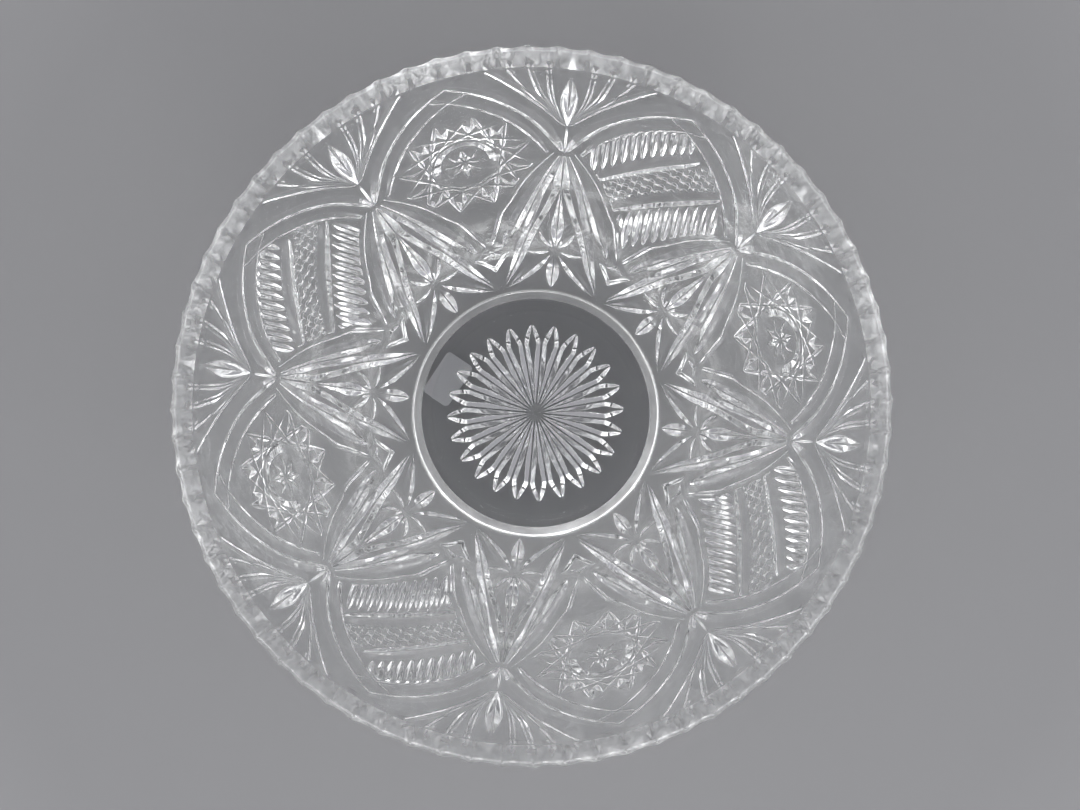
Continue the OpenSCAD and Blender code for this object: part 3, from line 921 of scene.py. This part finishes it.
# %% Base star, base ring and foot
RAYS = 24
RAY_TURN = 5.6
RAY_TIP, RAY_SHOULDER = 43.6, 33.0
RAY_DEPTH, RAY_SLOPE = 2.9, 1.05
RAY_COLUMNS = 20
TOUCHING = float(np.pi * RAY_SHOULDER / RAYS)
TURNED_COLUMNS = 192
# For each soft ring left by the mould: its radius, its spread and its height.
MOULD_RINGS = [(48.5, 0.8, 0.35), (52.6, 1.2, -0.3)]
FLANK_RUN, FLANK_END = 0.9, 0.5
ray_width = table([[0, 0.0], [4, 0.15], [12, 1.3], [RAY_SHOULDER, TOUCHING], [37, 3.5],
                   [40.5, 2.1], [RAY_TIP, 0]])


def ray_cut_height(r, q):
    """How far the underside rises into the glass at radius r and angle q.

    Each ray's half width at r, less the distance to its middle line, times the
    slope of its flanks, up to the full depth of a ray.
    """
    pitch = 360 / RAYS
    off = (q - RAY_TURN + pitch / 2) % pitch - pitch / 2
    away = np.abs(np.radians(off) * r)
    return np.clip((ray_width(r) - away) * RAY_SLOPE, 0, RAY_DEPTH)


def base_star():
    """Polar grid: under face from the middle out, up the side, and back on top."""
    radii = np.concatenate([[0], np.linspace(1, RAY_SHOULDER, 58, endpoint=False),
                            np.linspace(RAY_SHOULDER, RAY_TIP, 16), [STAR_R]])
    under = np.stack([radii, np.full(len(radii), BASE_UNDER)], -1)
    top = np.array([[STAR_R, FLOOR_UNDER], [0, FLOOR_UNDER]])
    profile = np.vstack([under, top])
    zones = [AIR] * (len(under) - 1) + [JOINT] * 2

    def lift(r, q):
        """Rays cut only the under face."""
        rays = ray_cut_height(r, q)
        rays[len(under):] = 0
        return rays

    piece = turned("cut_base_star", profile, zones, RAYS * RAY_COLUMNS, GLASS, lift)
    return place_piece(piece, "base_star")


def base_ring():
    """Ring about the star, with a soft groove and a soft ridge under it.

    Each is a bell curve: its height times e to the minus square of the distance
    from its radius over its spread.
    """
    radii = np.linspace(STAR_R, RING_R, 40)
    under_z = np.full(len(radii), BASE_UNDER)
    for radius, spread, height in MOULD_RINGS:
        under_z += height * np.exp(-((radii - radius) / spread) ** 2)
    under = np.stack([radii, under_z], -1)
    profile = np.vstack([under, [[RING_R, FLOOR_UNDER], [STAR_R, FLOOR_UNDER]]])
    zones = [AIR] * (len(radii) - 1) + [JOINT] * 3
    piece = turned("base_ring_glass", profile, zones, TURNED_COLUMNS, GLASS)
    return place_piece(piece, "base_ring")


def foot_ring():
    """Foot with a slanted inner flank and a rounded tread."""
    outer = np.array(section(0, PATTERN))
    start = np.array(section(0, 0))
    flank = [RING_R + BASE_UNDER * FLANK_RUN, FLANK_END]
    inner_face = along([RING_R, BASE_UNDER], flank, 10)
    tread = smooth_path([flank, [flank[0] + 0.7, 0.0],
                         [outer[0] - 1.1, 0.0], [outer[0] - 0.3, 0.4], [outer[0] + 0.1, 1.3],
                         [outer[0], outer[1]]], 5)
    tread[:, 1] = np.maximum(tread[:, 1], 0)
    top = np.array([start, [RING_R, FLOOR_UNDER]])
    profile = np.vstack([inner_face, tread, top])
    air = len(inner_face) + len(tread) - 1
    zones = [AIR] * air + [JOINT] * 3
    piece = turned("foot_ring_glass", profile, zones, TURNED_COLUMNS, [ground_glass, glass_joint])
    return place_piece(piece, "foot_ring")


for piece in (base_star(), base_ring(), foot_ring()):
    print(piece.name, len(piece.data.polygons), "faces")

# %% [markdown]
# ## The rim
#
# The rim is a thick lip with 72 small scallops. Its section is turned
# round the bowl, and the scallops pull it down and in between the cusps. Rays
# of the fans run on over its outer face and fade before the lip.

# %% Scalloped rim
SCALLOPS = 72
SCALLOP_DEPTH, SCOOP_DEPTH = 1.8, 1.5
SCALLOP_COLUMNS = 24
FADE_SHARE = 0.5


def scallop(q):
    """0 at each cusp and 1 in the middle of each scallop: 4 u (1 - u)."""
    u = (q * SCALLOPS / 360 + 0.5) % 1
    return 4 * u * (1 - u)


def rim():
    """Grid of the section of the rim round the bowl.

    Columns of the grid go up the outside, over the lip, down the inside and
    back under. d is how far a scallop pulls the lip down, and scoop how far it
    hollows the outer face.
    """
    columns = SCALLOPS * SCALLOP_COLUMNS
    q = np.arange(columns) / columns * 360
    d = SCALLOP_DEPTH * scallop(q)[:, None]
    outer_s = np.linspace(0, 1, 22)
    s = RIM_S + (WALL_S - 3 - d - RIM_S) * outer_s
    rise = np.interp(outer_s, [0, 0.35, 1], [0, 0.5, 1.4])
    local = (q + HALF) % STEP - HALF
    cuts = relief(local[:, None] + 0 * s, s)
    fade = np.clip((1 - outer_s) / FADE_SHARE, 0, 1)
    scoop = SCOOP_DEPTH * (d / SCALLOP_DEPTH) * np.sin(np.pi * outer_s * 0.5)
    outer_h = PATTERN + rise - (PATTERN - cuts) * fade - scoop
    lip = [(WALL_S - 1.4 - d, PATTERN + 1.0), (WALL_S + 0.1 - d, PATTERN + 0.1),
           (WALL_S + 0.9 - d, PATTERN - 1.4), (WALL_S + 1.2 - d, PATTERN - 2.9),
           (WALL_S + 1.1 - d, -0.4 + 0 * d), (WALL_S + 0.6 - 0.9 * d, -1.5 + 0 * d),
           (WALL_S - 0.3 - 0.7 * d, -2.3 + 0 * d), (WALL_S - 1.8 - 0.5 * d, -3.0 + 0 * d),
           (CUT_S + 1.2 - 0.1 * d, -3.8 + 0 * d), (CUT_S + 0.02 + 0 * d, -WALL_THICKNESS + 0 * d)]
    foot = [(CUT_S + 0.02, SKIN_GAP), (RIM_S, SKIN_GAP)]
    all_s = np.hstack([s] + [a + 0 * d for a, _ in lip] + [a + 0 * d for a, _ in foot])
    all_h = np.hstack([outer_h] + [b + 0 * d for _, b in lip] + [b + 0 * d for _, b in foot])
    points = on_wall(q[:, None] + 0 * all_s, all_s, all_h)
    m = all_s.shape[1]
    number = np.arange(columns * m).reshape(columns, m)
    nxt = np.roll(number, -1, 0)
    groups = []
    for j in range(m):
        k = (j + 1) % m
        face = np.stack([number[:, j], number[:, k], nxt[:, k], nxt[:, j]], -1)
        zone = AIR if j < outer_s.size + len(lip) - 1 else JOINT
        groups.append((face, zone))
    piece = make_piece("scalloped_rim", points, groups, [ground_glass, glass_joint])
    return place_piece(piece, "rim_band")


rim_piece = rim()
print("rim:", len(rim_piece.data.polygons), "faces and", SCALLOPS, "scallops")

# %% [markdown]
# ## The label
#
# A small blank paper label is stuck under the base. It is a thin flat sheet
# with round corners.

# %% Paper label
LABEL_PLACE = (-43.8, 11.0)
LABEL_TURN = np.radians(63)
LABEL_SIZE = (23.0, 15.0)
LABEL_CORNER = 2.2
LABEL_THICK, LABEL_GAP = 0.09, 0.01
label_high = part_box("price_label")[1]


def label():
    """A thin sheet with round corners, from a square grid.

    Rows and columns run from -1 to 1; near a corner the point is pulled in onto
    a circle of the corner radius.
    """
    n, m = 47, 31
    u, v = np.meshgrid(np.linspace(-1, 1, n), np.linspace(-1, 1, m), indexing="ij")
    half = np.array(LABEL_SIZE) / 2
    x, y = u * half[0], v * half[1]
    cx, cy = half - LABEL_CORNER
    ox, oy = np.maximum(np.abs(x) - cx, 0), np.maximum(np.abs(y) - cy, 0)
    reach = np.maximum(np.maximum(ox, oy), 1e-9)
    pull = reach / np.maximum(np.hypot(ox, oy), 1e-9)
    x = np.where(ox * oy > 0, np.sign(x) * (cx + ox * pull), x)
    y = np.where(ox * oy > 0, np.sign(y) * (cy + oy * pull), y)
    c, s = np.cos(LABEL_TURN), np.sin(LABEL_TURN)
    px, py = LABEL_PLACE[0] + c * x - s * y, LABEL_PLACE[1] + s * x + c * y
    top = np.full(x.shape, label_high.z / MM - LABEL_GAP)
    low = top - LABEL_THICK
    points = np.stack([np.stack([px, py, z], -1).reshape(-1, 3) for z in (top, low)])
    t = np.arange(n * m).reshape(n, m)
    b = t + n * m
    upper = np.stack([t[:-1, :-1], t[1:, :-1], t[1:, 1:], t[:-1, 1:]], -1).reshape(-1, 4)
    lower = np.stack([b[:-1, :-1], b[:-1, 1:], b[1:, 1:], b[1:, :-1]], -1).reshape(-1, 4)
    ring = np.concatenate([t[:-1, 0], t[-1, :-1], t[:0:-1, -1], t[0, :0:-1]])
    onward = np.roll(ring, -1)
    edge = np.stack([ring, ring + n * m, onward + n * m, onward], -1)
    piece = make_piece("paper_label", points.reshape(-1, 3),
                       [(upper, 0), (lower, 0), (edge, 1)], [label_paper])
    return place_piece(piece, "price_label")


print("label:", len(label().data.polygons), "faces")

# %% [markdown]
# ## Floor and light
#
# The bowl stands on a pale floor. Clear glass only shows what is round
# it, so the light decides how the cuts read. The room has a bright soft band
# round the horizon and a dim ceiling. The floor carries painted shade: its colour
# is painted darker near the bowl and paler further off, so the cut flanks, which
# look sideways, are brighter than the floor seen through the clear faces. Three small soft panels add a few
# highlights.

# %% Floor
FLOOR_HALF = 12.0
FLOOR_DROP = 0.05


def floor_painted_shade_material():
    """Pale matt sweep with painted shade: darker near the bowl, paler well away from it, with a faint
    mottle.
    """
    material, recipe = new_material("pale_floor_painted_shade")
    place = recipe.node("ShaderNodeTexCoord", None, None, "Object")
    away = recipe.node("ShaderNodeVectorMath", {"operation": "LENGTH"}, {0: place}, "Value")
    mottle = noise(recipe, place, 6, 3.0)
    # Painted shade: the floor colour is dark grey within 0.3 m of the middle and turns paler out to 0.85 m.
    blend = recipe.node("ShaderNodeValToRGB", {"stops": [
        (0.30, (0.40, 0.40, 0.405, 1)),
        (0.85, (0.66, 0.66, 0.665, 1)),
    ]}, {0: away + mottle * 0.04})
    shader = recipe.node("ShaderNodeBsdfPrincipled", None, {
        "Base Color": blend, "Roughness": 0.9, "Specular IOR Level": 0.1,
    })
    recipe.node("ShaderNodeOutputMaterial", None, {"Surface": shader})
    return material


def floor():
    """One large square just under the foot."""
    mesh = bpy.data.meshes.new("floor")
    a = FLOOR_HALF
    mesh.from_pydata([(-a, -a, 0), (a, -a, 0), (a, a, 0), (-a, a, 0)], [], [(0, 1, 2, 3)])
    mesh.materials.append(floor_painted_shade_material())
    piece = bpy.data.objects.new("floor", mesh)
    bpy.context.scene.collection.objects.link(piece)
    piece.location.z = -FLOOR_DROP * MM


floor()
print("floor of", 2 * FLOOR_HALF, "m")

# %% Room light and soft panels
WINDOW_SIDE = np.radians(165)
ROOM_LIGHT = 2.5


def room():
    """A world with a bright band round the horizon under a dim ceiling.

    Brightness follows a ramp on the height of the view direction, times a
    share that is greatest towards the window side.
    """
    world = bpy.data.worlds.new("room")
    bpy.context.scene.world = world
    world.use_nodes = True
    recipe = Recipe(world.node_tree)
    place = recipe.node("ShaderNodeTexCoord", None, None, "Generated")
    height = recipe.node("ShaderNodeSeparateXYZ", None, {0: place}, "Z")
    band = recipe.node("ShaderNodeValToRGB", {"stops": [
        (0.0, (0.25, 0.25, 0.26, 1)),
        (0.02, (1.15, 1.15, 1.15, 1)),
        (0.27, (1.15, 1.15, 1.17, 1)),
        (0.42, (0.13, 0.13, 0.14, 1)),
        (1.0, (0.15, 0.15, 0.16, 1)),
    ]}, {0: height})
    side = recipe.node("ShaderNodeVectorMath", {"operation": "DOT_PRODUCT"}, {
        0: place, 1: (np.sin(WINDOW_SIDE), np.cos(WINDOW_SIDE), 0),
    }, "Value")
    glow = recipe.node("ShaderNodeBackground", None, {
        "Color": band, "Strength": side * (ROOM_LIGHT * 0.45) + ROOM_LIGHT,
    })
    recipe.node("ShaderNodeOutputWorld", None, {"Surface": glow})


def soft_panel(name, azimuth, elevation, distance, size, power):
    """A square soft light aimed at the bowl, azimuth clockwise from +Y."""
    a, e = np.radians(azimuth), np.radians(elevation)
    data = bpy.data.lights.new(name, "AREA")
    data.shape, data.size, data.size_y = "RECTANGLE", size[0], size[1]
    data.energy = power
    lamp = bpy.data.objects.new(name, data)
    aim = Vector((np.sin(a) * np.cos(e), np.cos(a) * np.cos(e), np.sin(e)))
    lamp.location = aim * distance + Vector((0, 0, 0.06))
    lamp.rotation_mode = "QUATERNION"
    lamp.rotation_quaternion = aim.to_track_quat("Z", "Y")
    bpy.context.scene.collection.objects.link(lamp)


room()
soft_panel("window_panel", 162, 17, 1.6, (0.36, 0.42), 4)
soft_panel("left_panel", 222, 14, 1.6, (0.10, 0.5), 1.5)
soft_panel("right_panel", 119, 14, 1.6, (0.10, 0.5), 1.5)

bpy.context.scene.view_settings.view_transform = "Standard"
cycles = bpy.context.scene.cycles
cycles.max_bounces = 24
cycles.transmission_bounces = 24
cycles.glossy_bounces = 12
cycles.transparent_max_bounces = 64
